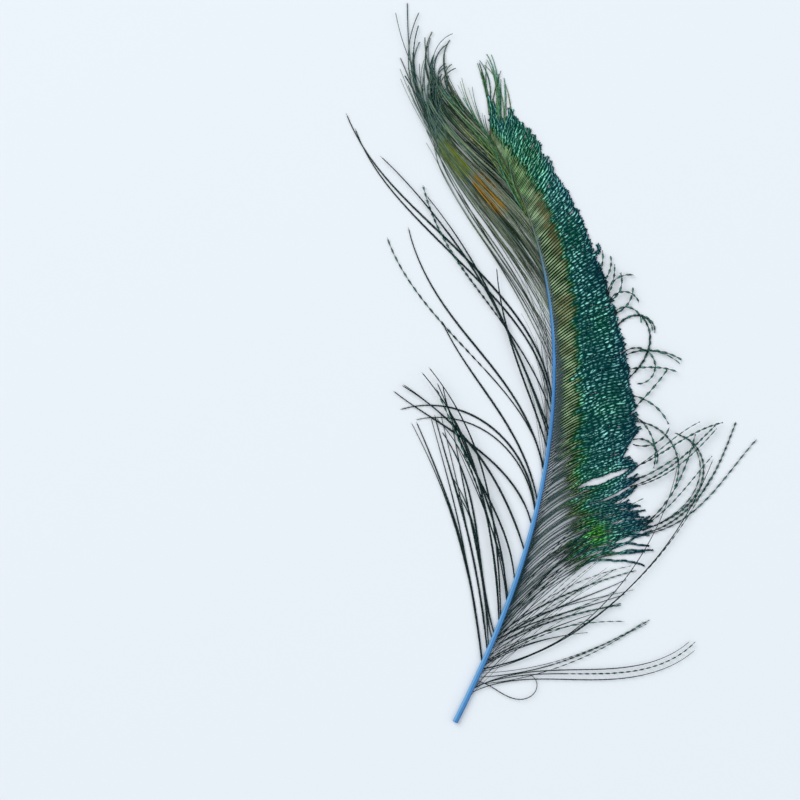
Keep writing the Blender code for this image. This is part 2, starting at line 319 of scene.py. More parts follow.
outerWeb = {
    # place, length, angle from the shaft, turn
    "barbs": (
        (14, 66, 21, -24), (40, 78, 20, -30), (58, 73, 20, -45), (72, 63, 22, -47), (88, 54, 28, -38),
        (104, 50, 38, -26), (135, 42, 46, -26), (163, 35, 52, -22), (194, 28, 56, -14), (215, 23, 57, -6),
        (240, 19, 57, 0), (262, 18, 50, 6), (277, 16, 30, 6),
    ),
    # place, start along the barb, half opening, reach along the shaft, 1 if the tips meet again
    "partings": (
        (99.5, 0.36, 2.1, 10, 1), (83, 0.78, 2.8, 8, 0), (56, 0.72, 0.9, 4, 0), (45, 0.50, 1.8, 5, 0),
    ),
    # place, end of the bare stretch and of the velvet in millimetres along the barb, how full the velvet
    # is, half widths of the bare and the green stretch, a fleck's length with its dark, wander in degrees
    "stretches": (
        (45, 40, 44, 0.1, 0.17, 0.60, 1.9, 4), (72, 29, 33, 0.2, 0.18, 0.70, 1.9, 4),
        (90, 19, 25, 0.25, 0.23, 0.88, 2.1, 4), (105, 12, 18, 0.4, 0.36, 1.16, 2.1, 3),
        (122, 7, 14, 0.75, 0.46, 1.24, 2.3, 3), (163, 3.5, 10, 1, 0.5, 1.27, 2.5, 2),
        (200, 0.6, 10, 1, 0.52, 1.30, 2.6, 2), (235, 0.1, 8.5, 1, 0.5, 1.02, 2.4, 3),
        (257, 0.0, 5, 1, 0.5, 0.86, 2.0, 7), (277, 0.0, 2, 1, 0.5, 0.76, 1.9, 9),
    ),
    # first place, last place and gap of the barbs, from the base lock up to the tip
    "rows": ((45.5, 56, 1.5), (56.4, 97, 1.05), (97.7, 226, 1.32), (226.6, 276.5, 0.78)),
    # samples along a barb; spacing, overlap and droop of its barbules, and half widths of its stretches
    "samples": 66, "spacing": 0.30, "overlap": 1.6, "droop": 0.25,
    "velvetHalf": 0.76, "tipHalf": 0.95, "rootHalf": 0.27,
    # millimetres that the tips' clumps and the bare barbs' bundles measure, and how far barbs are pulled in
    "clump": 4.3, "clumpPull": 0.10, "bundle": 3.1, "bundlePull": 0.7,
    # degrees: a tip's curl, the extra curl of hooked tips, waves alone and together, fray, roll to and fro
    "hook": 62, "longHook": 25, "meander": 7, "surge": 4.5, "fray": 20, "twist": 34,
    # hooked barbs, and short ones at the tip: their shares and changes in length, and the web's own there
    "hookedShare": 0.06, "hookedLonger": 0.22, "shortShare": 0.7, "shorter": 0.42, "fuller": 0.13,
    # place, reach and depth of the hollow in the main block's lower corner
    "recess": (107, 5.0, 0.11),
    # places where a trait comes in and is full, and for four of them where it fades and is gone
    "ragged": (108, 76), "soft": (155, 108), "looseEnd": (60, 48), "held": (82, 86, 98, 104),
    "stirred": (88, 100, 140, 170), "hooked": (182, 190, 200, 208), "sunny": (234, 250, 264, 274),
    # flecks: share of barbs with long bright ones, spread of length, dimmest and range of their painted
    # highlight, the waves' share of painted shade
    "longShare": 0.04, "fleckSpread": (0.7, 1.35), "fleckLight": (0.28, 0.90), "shade": 0.2,
    # where each stretch stands along the colours, and the bright green spot's middle and reach
    "bareZone": 0.02, "velvetZone": 0.18, "greenZone": 0.50, "lime": (63.5, 85.0), "limeReach": 5.6,
}


# barbs drawn towards the middle of the group that their number, counted in groups, puts them in
def pullIn(number, size, share):
    return (np.floor(number) + 0.5 - number) * size * share


# how far the partings, and the clumps that the tips gather in, push a barb along the shaft
def outerPush(place, t, web):
    push = np.zeros((len(place), len(t)))
    for at, begins, opening, reach, closes in web["partings"]:
        u = np.clip((t - begins) / (1 - begins), 0, 1)
        lens = np.sin(np.pi * u) if closes else u**1.5
        fade = np.where(place >= at, 1, -1) * opening * np.exp(-np.abs(place - at) / reach)
        push += fade[:, None] * lens
    number = place / web["clump"] + 0.35 * np.sin(place * 0.9)
    pull = pullIn(number, web["clump"], web["clumpPull"]) * (0.3 + 0.7 * smooth(108, 84, place))
    return push + pull[:, None] * smooth(0.72, 1.0, t)


# bare barbs of the lower web lie in bundles of two or three between the shaft and the green
def bundlePush(place, run, greenFrom, web):
    number = place / web["bundle"] + 0.4 * np.sin(place * 0.7)
    pull = pullIn(number, web["bundle"], web["bundlePull"]) * smooth(150, 110, place)
    return pull[:, None] * smooth(1.0, 7.0, run) * (1 - smooth(-5.0, 3.0, run - greenFrom))


# barbs of the broad web: bare by the shaft, then zipped flat in velvet, then tilting to and fro in green
def outerBarbs(place, web):
    t = np.linspace(0, 1, web["samples"])
    count = len(place)
    column = place[:, None]
    anyTurn = rng.uniform(0, 6.3, (4, count, 1))
    length, leave, turn = blend(web["barbs"], place)
    bareEnd, velvetEnd, fullness, bareHalf, greenHalf, fleck, loosened = blend(web["stretches"], place)
    ragged, softer, looseEnd = (smooth(*web[key], place) for key in ("ragged", "soft", "looseEnd"))
    held, stirred = window(web["held"], place), window(web["stirred"], place)
    sunny = window(web["sunny"], column)

    # lengths, with a few hooked barbs, short ones at the tip and a hollow above the first parting
    hooked = (rng.random(count) < web["hookedShare"]) * window(web["hooked"], place)
    jitter = rng.uniform(-0.012, 0.012, count) * loosened
    jitter = jitter - web["shorter"] * smooth(262, 272, place) * (rng.random(count) < web["shortShare"])
    length = length * (1 + jitter) * (1 + web["hookedLonger"] * hooked)
    at, reach, depth = web["recess"]
    hollow = depth * np.exp(-(((place - at) / reach) ** 2))
    length = length * (1 + web["fuller"] * smooth(192, 225, place) - hollow)
    wave = 0.6 + 0.32 * np.sin(place / 2.9 + 1.4 * np.sin(place / 7.3))
    curl = (wave + rng.uniform(-0.08, 0.08, count)) * (1 - 0.6 * ragged - 0.6 * smooth(256, 270, place))
    curl = curl * web["hook"] + hooked * web["longHook"]
    wander = rng.normal(0, 1, count) * loosened

    # where the velvet ends and the green comes in, differently on each barb
    run = t * length[:, None] + rng.normal(0, 0.6, count)[:, None]
    bareEnd, velvetEnd = np.maximum(bareEnd, 0)[:, None], np.maximum(velvetEnd, 0.5)[:, None]
    velvetEnd = velvetEnd + (rng.normal(0, 1, count) * (0.8 + 1.3 * softer + 3.4 * ragged))[:, None]
    green = smooth(0, 1, (run - velvetEnd) / (4.5 + 6 * softer + 10 * ragged)[:, None] + 0.4)

    # headings: the turn, the curl of the tip, the fray of low barbs, their wander and their waves
    headings = (headingAt(place) - leave)[:, None] + turn[:, None] * t
    headings = headings + curl[:, None] * smooth(0.82, 1.02, t)
    sway = np.sin(run / 1.1 + anyTurn[0]) + 0.7 * np.sin(run / 2.3 + anyTurn[1])
    surge = np.sin(column / 7.0 + 0.30 * run) + 0.6 * np.sin(column / 3.1 - 0.5 * run)
    fray = np.clip(rng.normal(0, web["fray"], count), -24, 30) * ragged
    fray = fray * (1 - 0.6 * held) * (1 + 0.5 * looseEnd)
    fray = fray[:, None] * smooth((0.84 - 0.34 * looseEnd)[:, None], 1, t)
    waves = web["meander"] * sway + web["surge"] * surge * (1 + stirred)[:, None]
    headings = headings + fray + wander[:, None] * smooth(0.4, 1, t) + waves * green
    path = walk(headings, length / (len(t) - 1))
    push = outerPush(place, t, web) + bundlePush(place, run, velvetEnd, web)
    path = path + besideShaft(place, -1)[:, None] + push[..., None] * alongShaft(place)[:, None]

    # half widths of the barbules in each stretch
    bare = 1 - smooth(-1, 1, (run - bareEnd) / (2.0 + 2.5 * softer)[:, None])
    velvet = (1 - bare) * (1 - (1 - fullness[:, None]) * (1 - green))
    rooted = (1 - smooth(2.5, 6.5, run)) * smooth(150, 110, column)
    half = bareHalf[:, None] + (web["rootHalf"] - bareHalf[:, None]) * rooted
    half = half + (web["velvetHalf"] - half) * velvet
    half = half + (greenHalf[:, None] - half) * green
    tipHalf = web["tipHalf"] * (0.55 + 0.45 * smooth(88, 112, column))
    half = half + (tipHalf - half) * smooth(0.90, 1.0, t)

    # each fleck is a painted highlight with a brightness of its own, under painted shade from the waves, on
    # one row of barbules or both, and a few barbs carry long bright ones on top
    long = rng.random(count) < web["longShare"]
    period = fleck * rng.uniform(*web["fleckSpread"], count) * (1 + 0.6 * long)
    period = period * (1 + 0.3 * smooth(222, 252, place))
    drift = 0.9 * np.sin(run / 2.9 + anyTurn[2]) + 0.6 * np.sin(run / 1.3 + anyTurn[3])
    offset = (np.arange(count) % 2) / 2 + rng.normal(0, 0.12, count)
    turns = run / period[:, None] + offset[:, None] + drift / 6.3 + 4
    swing = np.sin(2 * np.pi * turns)
    drawn = turns.astype(int) % fleckDraws
    dimmest, spread = web["fleckLight"]
    strength = dimmest + spread * rng.uniform(0, 1, (count, fleckDraws)) ** 0.8
    stronger = 0.20 * long + 0.12 * smooth(212, 250, place) + 0.15 * smooth(112, 96, place)
    strength = strength + stronger[:, None]
    bright = np.take_along_axis(strength, drawn, 1) * (0.88 + web["shade"] * surge)
    favour = np.take_along_axis(rng.choice([-1.0, 0.0, 1.0], (count, fleckDraws)), drawn, 1)

    # heights: from the shaft's flank down to the web's own level, long barbs over the others
    height = 0.45 * shaft["heightRatio"] * shaftWidth(column) * (1 - t) + 0.72
    height = height + 0.1 * (np.arange(count) % 2)[:, None] + 0.35 * long[:, None] * green
    height = height + rng.uniform(-0.12, 0.12, count)[:, None] * green
    height = height + 0.12 * green * np.sin(run / 1.7 + anyTurn[1])

    # glint, a painted highlight: even and softly banded with painted shade in the velvet, in flecks in the
    # green
    beads = smooth(-0.6, 0.5, np.sin(2 * np.pi * run / 1.15 + anyTurn[0])) * smooth(225, 190, column)
    band = np.sin(6.28 * place / 4.4)[:, None] + np.sin(column / 1.7 + run / 1.4)
    plain = 0.36 + velvet * (0.25 + 0.30 * beads + 0.10 * smooth(200, 240, column))
    plain = plain * (1 + 0.24 * band * velvet) * (1 - (0.42 * softer[:, None] + 0.2 * sunny) * velvet)
    fleckShare = 1 - (1 - smooth(-0.5, 0.45, swing)) * (1 - 0.45 * smooth(210, 240, column))
    glint = fleckShare * bright * green + (1 - green) * plain * (1 - 0.6 * rooted)
    gap = np.linalg.norm(path - web["lime"], axis=-1) / web["limeReach"]
    lime = np.exp(-(gap**2)) * smooth(0.05, 0.6, bright)
    glint = glint + 0.35 * lime

    # tint: brown in the outer velvet, yellow-green specks where the green begins and in the sunny stretch
    brown = smooth(0.35, 0.9, (run - bareEnd) / (velvetEnd - bareEnd + 0.5)) * smooth(195, 225, column)
    patchy = smooth(0.1, 0.9, np.sin(column / 9.0) + 0.6 * np.sin(column / 3.7))
    brown = brown + 0.55 * patchy * window((120, 150, 200, 215), column)
    brown = brown * (1 - 0.9 * sunny) - 0.28 * sunny
    specks = 0.38 * (favour > 0.5) * softer[:, None] * (1 - smooth(4, 11, run - velvetEnd))
    tint = brown * velvet * (1 - green) - np.clip(lime + specks, 0, 1) * green

    # zone: emerald in the green, greener inwards and at the tip, petrol at the edge
    edge = 0.55 * smooth(0.72, 0.99, t) * smooth(120, 90, column) + 0.75 * smooth(0.78, 1.0, t)
    edge = edge * (1 - 0.8 * smooth(240, 262, column))
    edge = edge + 0.25 * np.sin(column / 6.1 + 1) * smooth(0.3, 0.8, t)
    inward = 0.10 * smooth(165, 105, column) * (1 - smooth(2, 15, run - velvetEnd))
    greenZone = web["greenZone"] - inward + 0.12 * smooth(0, 5, run - velvetEnd)
    greenZone = greenZone + 0.30 * np.clip(edge, -0.2, 1.2) - 0.10 * smooth(215, 250, column)
    zone = web["bareZone"] + (web["velvetZone"] - web["bareZone"]) * velvet
    return {
        "spine": np.concatenate([path, height[..., None]], -1), "roll": web["twist"] * swing * green + 6,
        "half": half, "stem": (0.15 - 0.04 * ragged)[:, None] - 0.09 * t,
        "zone": zone * (1 - green) + green * greenZone, "glint": glint, "tint": tint, "lean": 0.85 + 0 * run,
        "from": np.full(count, 0.01), "to": np.full(count, 0.995), "spacing": web["spacing"],
        "overlap": web["overlap"], "droop": web["droop"], "favour": favour * green,
    }


# colours of barbules along the zones: bare, velvet, green, emerald, teal, petrol, edge, as painted lit and
# shaded tones.
# Then the two tints, likewise, and how far the painted highlight down a barbule's core reaches, in dull barbs
# and what sheen adds to that
webColours = {
    "lit": (
        (0.0, (0.180, 0.290, 0.325)), (0.18, (0.370, 0.520, 0.300)), (0.40, (0.130, 0.310, 0.140)),
        (0.50, (0.240, 0.720, 0.480)), (0.62, (0.270, 0.680, 0.610)), (0.80, (0.150, 0.420, 0.440)),
        (1.0, (0.070, 0.220, 0.290)),
    ),
    "shadedTone": (
        (0.0, (0.005, 0.020, 0.027)), (0.18, (0.003, 0.016, 0.002)), (0.40, (0.001, 0.036, 0.008)),
        (0.50, (0.0002, 0.052, 0.036)), (0.62, (0.0001, 0.042, 0.043)), (0.80, (0.0002, 0.030, 0.040)),
        (1.0, (0.0004, 0.018, 0.032)),
    ),
    "olive": ((0.210, 0.205, 0.095), (0.045, 0.050, 0.020)),
    "lime": ((0.230, 0.860, 0.090), (0.003, 0.090, 0.006)), "core": (0.13, 0.07),
}


# a fleck's glint mixes the shaded tone into the lit one: a painted highlight down the middle of its barb,
# wider where it is brighter, and painted shade where it meets the next
def barbMaterial(name, colours, roughness, metallic):
    sheet = Sheet(name)
    zone, glint, out, tint = (sheet.number(key) for key in ("zone", "glint", "out", "tint"))
    mottle = sheet.noise(260, 3)
    grain = sheet.noise(1500, 1)
    spot = zone + (mottle - 0.5) * 0.12
    tones = []
    for i, tone in enumerate(("lit", "shadedTone")):
        colour = sheet.mix(tint.step(0, 1), sheet.ramp(spot, colours[tone]), colours["olive"][i])
        tones.append(sheet.mix(tint.step(0, -1), colour, colours["lime"][i]))
    sheen = zone.step(0.38, 0.55)
    core = 1 - (out - glint * 0.25).step(0.0, colours["core"][0] + colours["core"][1] * sheen)
    colour = sheet.mix(glint * core * (0.3 + 0.7 * mottle + 0.6 * grain), tones[1], tones[0])
    return sheet.finish(**{
        "Base Color": colour, "Roughness": roughness + 0.2 - 0.2 * sheen,
        "Metallic": metallic * 0.3 + metallic * 0.7 * sheen, "Specular IOR Level": 0.04,
    })


webFinish = barbMaterial("iridescentWeb", webColours, 0.42, 0.35)
webPlaces = np.concatenate([np.arange(*row) for row in outerWeb["rows"]])
for name, node, first, last in (
    ("mainVane", "outer_vane", 99.5, 262), ("middleLock", "middle_lock", 83, 99.5),
    ("lowerLock", "lower_lock", 56, 83), ("baseLock", "base_lock", 45, 56), ("tipTuft", "tip_tuft", 262, 277),
):
    places = webPlaces[(webPlaces > first) & (webPlaces <= last)]
    if node == "tip_tuft":
        places = np.sort(np.concatenate([places, places - 0.4]))
    piece = barbPiece(name, outerBarbs(places, outerWeb), webFinish)
    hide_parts(node)
print("outer web made")

plume = {
    # place, length, angle from the shaft, turn, how the turn changes
    "barbs": (
        (166, 158, 24, 45, -66), (185, 150, 22, 49, -71), (225, 113, 18, 60, -98), (262, 70, 14, 38, -84),
        (276, 46, 6, 22, -50),
    ),
    # where each free end leaves its barb's line: place, length, turn, change
    "ends": (
        (170, 56, 2, -10), (184, 58, -16, 0), (196, 54, -14, -8), (208, 54, -26, 6), (220, 50, -6, -34),
        (232, 44, -30, 4), (244, 40, -14, -48), (256, 32, -34, -14), (266, 28, -14, -56),
        (274, 22, -20, -10),
    ),
    # first place, last place and gap of the barbs: sparse near the start, then dense
    "rows": ((168, 192, 2.4), (192, 276, 1.0)),
    "samples": 64, "half": 0.52, "spacing": 0.48, "overlap": 1.3, "droop": -0.08, "flecks": 4.4, "twist": 30,
    # shares of a barb's length between which its free end begins, the shortest end's share of its station's
    # length and what the longest has on top, lowest and highest layer, share of pale barbs
    "free": (0.50, 0.66), "endLengths": (0.16, 0.94), "lowest": 0.55, "highest": 2.1, "pale": 0.42,
    # patches along the bundle: middle, heading, reach along and across it, strength
    "copper": ((15.0, 238.0), 128, 12, 5.0, 1.2),
    "limes": (
        ((2.0, 250.5), 130, 15, 4.4, 1.5), ((20.5, 255.0), 118, 11, 5.0, 1.0),
        ((8.0, 262.0), 125, 12, 5.0, 0.6),
    ),
}


# a patch's strength in its middle, fading out over an oval that lies along its heading
def patch(path, middle, heading, along, across, strength):
    angle = np.radians(heading)
    gap = path - middle
    u = gap[..., 0] * np.cos(angle) + gap[..., 1] * np.sin(angle)
    v = gap[..., 1] * np.cos(angle) - gap[..., 0] * np.sin(angle)
    return strength * np.exp(-((u / along) ** 2) - (v / across) ** 2)


# plume barbs: each follows the bundle to where its free end begins, and the ends fan out by their own turns
def plumeBarbs(place, group):
    length, leave, turn, change = blend(group["barbs"], place)
    count = len(place)

    # free ends: those of the nearest station, most of them much shorter
    ends = np.array(group["ends"], float)
    nearest = np.abs(place[:, None] - ends[:, 0]).argmin(1)
    freeLength, freeTurn, freeChange = ends[nearest, 1:].T
    shortest, rest = group["endLengths"]
    freeLength = freeLength * (shortest + rest * rng.random(count) ** 2.8)
    freeTurn = freeTurn - 5 + np.minimum(rng.normal(0, 16, count), 8)
    freeChange = freeChange + np.minimum(rng.normal(0, 24, count), 12)
    free = rng.uniform(*group["free"], count)
    bound = length * free
    freeLength = freeLength + length * (group["free"][1] - free)

    # headings along the bound stretch, s, and along the free end, u
    t = np.linspace(0, 1, group["samples"])
    run = t * (bound + freeLength)[:, None]
    s = np.minimum(run / length[:, None], free[:, None])
    u = np.clip((run - bound[:, None]) / freeLength[:, None], 0, 1)
    headings = (headingAt(place) + leave)[:, None] + turn[:, None] * s + change[:, None] * s * s
    headings = headings + freeTurn[:, None] * u + freeChange[:, None] * u * u
    sway = 2.4 * np.sin(run / 15 + rng.uniform(0, 6.3, count)[:, None])
    headings = headings + sway + np.minimum(rng.normal(0, 1.8, count), 1)[:, None] * t
    path = walk(headings, (bound + freeLength) / (len(t) - 1))
    path = path + besideShaft(place, 1)[:, None]

    # each barb has a layer of its own, pale ones above the others
    start = 0.55 * shaft["heightRatio"] * shaftWidth(place) + 0.2
    pale = rng.random(count) < group["pale"]
    layer = rng.uniform(group["lowest"], group["highest"], count) + 0.5 * pale
    height = start[:, None] + (layer - start)[:, None] * smooth(0, 0.2, t)
    swing = np.sin(2 * np.pi * run / group["flecks"] + rng.uniform(0, 6.3, count)[:, None])
    half = group["half"] * (0.6 + 0.5 * smooth(0.02, 0.3, t))
    half = half * (0.55 + 0.45 * smooth(185, 222, place))[:, None]
    half = half * (1 - 0.42 * smooth(0.45, 0.8, t)) * (1 - 0.35 * pale)[:, None]

    # copper and lime patches show on some barbs more than on others
    own = np.where(rng.random(count) < 0.62, rng.uniform(0.7, 1.1, count), 0.2)[:, None]
    warm = patch(path, *group["copper"]) * own
    lime = np.max([patch(path, *one) * own for one in group["limes"]], axis=0)
    zone = 0.12 + 0.7 * smooth(0.4, 0.8, t) + 0.25 * rng.normal(0, 1, count)[:, None]
    # glint: pale barbs lighter in their own tone, fading in and out along the barb, free ends brighter, a
    # painted highlight where a barb's twist swings up, and the copper and lime patches brighter
    line = (rng.choice([0.1, 0.45, 0.65], count) + 0.7 * pale)[:, None]
    line = line * (0.65 + 0.35 * np.sin(run / 9 + rng.uniform(0, 6.3, count)[:, None]))
    glint = line + 0.15 * u + 0.12 * smooth(0.2, 0.9, swing) + 0.8 * np.maximum(warm, lime)
    return {
        "spine": np.concatenate([path, height[..., None]], -1), "roll": group["twist"] * swing,
        "half": half + 0 * run, "stem": 0.15 - 0.10 * t + 0 * run, "zone": np.clip(zone, 0, 1),
        "glint": np.clip(glint, 0, 1), "tint": smooth(0.15, 0.8, warm) - smooth(0.15, 0.9, lime - warm),
        "lean": 1.6 + 0 * run, "from": np.full(count, 0.01), "to": np.full(count, 0.995),
        "spacing": group["spacing"], "overlap": group["overlap"], "droop": group["droop"],
    }


# painted lit and painted shaded tones of the plume's barbs, as for the web
plumeColours = {
    "lit": ((0.0, (0.330, 0.360, 0.300)), (0.35, (0.285, 0.400, 0.215)), (1.0, (0.150, 0.290, 0.285))),
    "shadedTone": ((0.0, (0.004, 0.015, 0.009)), (0.35, (0.006, 0.022, 0.009)), (1.0, (0.003, 0.024, 0.024))),
    "olive": ((0.430, 0.240, 0.040), (0.050, 0.034, 0.006)),
    "lime": ((0.270, 0.345, 0.075), (0.022, 0.046, 0.008)), "core": (0.30, 0.0),
}
plumeFinish = barbMaterial("plumeBarb", plumeColours, 0.5, 0.15)
plumePlaces = np.concatenate([np.arange(*row) for row in plume["rows"]])
plumeNodes = ["tip_plume"] + [f"plume_strand_{i:02d}" for i in range(1, 11)]
for name, places, nodes in (
    ("plumeLeft", plumePlaces[::2], plumeNodes[:6]), ("plumeRight", plumePlaces[1::2], plumeNodes[6:]),
):
    piece = barbPiece(name, plumeBarbs(places, plume), plumeFinish)
    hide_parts(*nodes)
print("plume made")

loose = {
    # place, length, angle from the shaft (+ to the inner side), turn, how the turn changes, layer
    "inner": (
        (154, 160, 12, 135, -122, 0), (147, 118, 22, 80, -84, 1), (139, 146, 26, 16, 12, 2),
        (131, 84, 24, 22, -34, 3), (121, 126, 20, 112, -110, 0), (107, 92, 23, 77, -62, 0),
        (103, 86, 18, 92, 10, 0), (96, 88, 27, 126, -88, 1), (84, 94, 32, 42, 1, 2),
        (70, 93, 24, 82, -77, 3), (60, 103, 24, 44, -23, 4), (50, 119, 24, 13, 25, 5),
        (44, 94, 38, -45, 64, 0), (36, 108, 28, 26, -15, 0), (30, 112, 29, 22, -2, 0),
    ),
    "base": (
        (43, 70, -27, -38, 12, 0), (40, 66, -31, -44, 34, 0), (37, 62, -34, -40, 20, 0),
        (34, 64, -31, -34, 6, 1), (31, 52, -33, -24, 8, 2), (27, 146, -54, 72, -16, 2),
        (23, 82, -62, 36, -8, 0), (18, 104, -40, -121, 143, 1),
    ),
    # the place whose barb it carries on from, length, heading, turn, change, layer
    "strays": (
        (59, 64, 12, 118, -62, 0), (63, 58, 20, 20, 125, 0), (67, 46, 34, 70, -30, 1),
        (88, 44, 16, 62, -34, 2), (100, 42, 24, 40, -52, 3), (148, 30, 42, 30, 70, 0),
        (158, 24, 30, -72, 10, 1), (172, 20, 54, -70, -80, 0),
    ),
    # short loops at the outer edge, stated in the same way
    "loops": (
        (160, 29, 46, -210, -20, 1), (151, 20, 12, -12, -22, 2), (133, 20, 44, 8, 4, 1),
        (138, 19, -6, -60, 0, 2), (125, 38, 4, -128, 10, 1), (127, 24, -30, -76, 0, 2),
        (116, 15, 20, -130, 0, 1), (178, 14, 60, -150, 0, 1), (184, 13, 70, -140, 0, 2),
        (188, 12, 80, -90, 0, 1), (191, 10, 40, 60, 0, 1), (186, 11, 50, 70, -30, 2),
        (196, 7, 60, 40, 0, 1), (182, 12, 20, 90, 0, 2), (176, 13, 10, 80, 0, 1),
        (111, 16, -20, 90, 0, 2), (92, 20, 10, 60, -40, 1),
    ),
    # barbs rooted near the cut that lie over the bare web: how many, and the limits of each trait
    "over": {
        "count": 22, "places": (14, 64), "leave": (-25, -13), "length": (56, 80), "turn": (-22, -2),
        "layer": (1.2, 2.4),
    },
    # fine barbs that run close beside the shaft before the plume begins
    "hatch": {
        "count": 20, "places": (118, 170), "leave": (6, 15), "length": (26, 52), "turn": (0, 18),
        "layer": (0.2, 1.4),
    },
    # green strands between the plume and the tuft
    "crest": {
        "count": 46, "places": (236, 276), "leave": (2, 22), "length": (16, 46), "turn": (-30, 6),
        "layer": (0.8, 2.2),
    },
    # place, length, angle, turn, change and layer of a fine barb that curls back on itself
    "curl": ((21, 42, -75, -190, 420, 1),),
    "tuftPoints": ((275.5, 17, 98, 6, 4, 0), (272, 24, 84, 12, 26, 0), (268.5, 15, 86, 8, 4, 0)),
    "samples": 72, "half": 0.52, "tipHalf": 0.26, "spacing": 0.4, "overlap": 1.25, "droop": -0.05,
    # a dash's length, the lowest layer's height, the step between layers, the share of a barb spent rising
    "dashes": 3.4, "floor": 0.55, "layerStep": 0.85, "rise": 0.22,
}


# a loose barb leaves at its own height and settles on its layer; its rows of barbules turn as it goes
def looseBarbs(start, heading, rows, startHeight, group, thick, turning, begins):
    length, turn, change, layer = rows
    count = len(length)
    t = np.linspace(0, 1, group["samples"])
    run = t * length[:, None]
    headings = heading[:, None] + turn[:, None] * t + change[:, None] * t * t
    headings = headings + 0.8 * np.sin(run / 13 + rng.uniform(0, 6.3, count)[:, None])
    path = start[:, None] + walk(headings, length / (len(t) - 1))
    floor = group["floor"] + layer * group["layerStep"]
    height = startHeight[:, None] + (floor - startHeight)[:, None] * smooth(0, group["rise"], t)
    turned = np.maximum(run - begins * length[:, None] * turning[:, None], 0)
    phase = turned / (group["dashes"] * rng.uniform(0.8, 1.3, count))[:, None]
    phase = phase + (rng.uniform(0, 1, count) * (1 - turning))[:, None]
    roll = 180 * phase * turning[:, None] + 30 * np.sin(2 * np.pi * phase) * (1 - turning[:, None])
    flat = np.abs(np.cos(np.radians(roll)))
    half = group["half"] * thick[:, None] * (0.7 + 0.3 * smooth(0, 0.15, t)) * (1 + 0.25 * turning)[:, None]
    half = half * (1 - 0.45 * turning[:, None] * (1 - smooth(begins - 0.1, begins + 0.2, t)))
    thinner = (1 - group["tipHalf"] / group["half"]) * smooth(0.55, 1, t) * (1 - 0.6 * turning)[:, None]
    half = half * (1 - thinner)
    # glint: a painted highlight where the turning barbs' barbules lie flat, in beads that also turn teal, and
    # in dashes along the others
    beaded = smooth(begins, begins + 0.3, t) * turning[:, None]
    dashHighlight = smooth(0.2, 0.9, np.sin(6.28 * phase)) * (1 - turning[:, None])
    return {
        "spine": np.concatenate([path, height[..., None]], -1), "roll": roll, "half": half,
        "stem": (0.17 - 0.10 * t) * thick[:, None],
        "zone": 0.05 + 0.10 * smooth(0.3, 0.9, t) + 0.6 * beaded,
        "glint": 0.10 + 0.30 * dashHighlight + 0.8 * smooth(0.4, 1.0, flat) * beaded, "tint": 0 * run,
        "lean": 1.5 + 0 * run, "from": np.full(count, 0.0), "to": np.full(count, 0.99),
        "spacing": group["spacing"], "overlap": group["overlap"], "droop": group["droop"],
    }


# rows of stated barbs, each followed by slightly different companions that lie along it
def withCompanions(rows, copies, spread):
    table = np.repeat(np.array(rows, float), copies + 1, axis=0)
    extra = np.tile(np.arange(copies + 1) > 0, len(rows))[:, None]
    shift = rng.normal(0, 1, table.shape) * spread
    shift[:, 1] -= np.abs(shift[:, 1])
    return table + shift * extra, extra[:, 0]


# rows of a loose set spread evenly over its places, with the rest drawn between its limits
def evenRows(group):
    draws = [rng.uniform(*group[key], group["count"]) for key in ("length", "leave", "turn", "layer")]
    places = np.linspace(*group["places"], group["count"]) + rng.normal(0, 0.5, group["count"])
    return np.stack([places, draws[0], draws[1], draws[2], 0 * places, draws[3]], 1)


# painted lit and painted shaded tones of the loose barbs
looseColours = {
    "lit": ((0.0, (0.100, 0.150, 0.150)), (0.15, (0.090, 0.190, 0.170)), (1.0, (0.100, 0.420, 0.320))),
    "shadedTone": ((0.0, (0.006, 0.014, 0.017)), (0.15, (0.003, 0.016, 0.015)), (1.0, (0.0005, 0.030, 0.026))),
    "olive": ((0.12, 0.30, 0.22), (0.004, 0.03, 0.022)), "lime": ((0.12, 0.30, 0.22), (0.004, 0.03, 0.022)),
    "core": (0.20, 0.0),
}
looseFinish = barbMaterial("looseBarb", looseColours, 0.5, 0.1)
# painted lit and painted shaded tones of the tuft's barbs
tuftColours = {
    "lit": ((0.0, (0.100, 0.160, 0.140)), (0.35, (0.090, 0.260, 0.160)), (0.7, (0.270, 0.360, 0.090)),
            (1.0, (0.120, 0.480, 0.340))),
    "shadedTone": ((0.0, (0.004, 0.020, 0.017)), (0.35, (0.003, 0.030, 0.016)), (0.7, (0.010, 0.040, 0.006)),
             (1.0, (0.001, 0.040, 0.028))),
    "olive": looseColours["olive"], "lime": looseColours["lime"], "core": (0.25, 0.0),
}
tuftFinish = barbMaterial("tuftBarb", tuftColours, 0.45, 0.2)

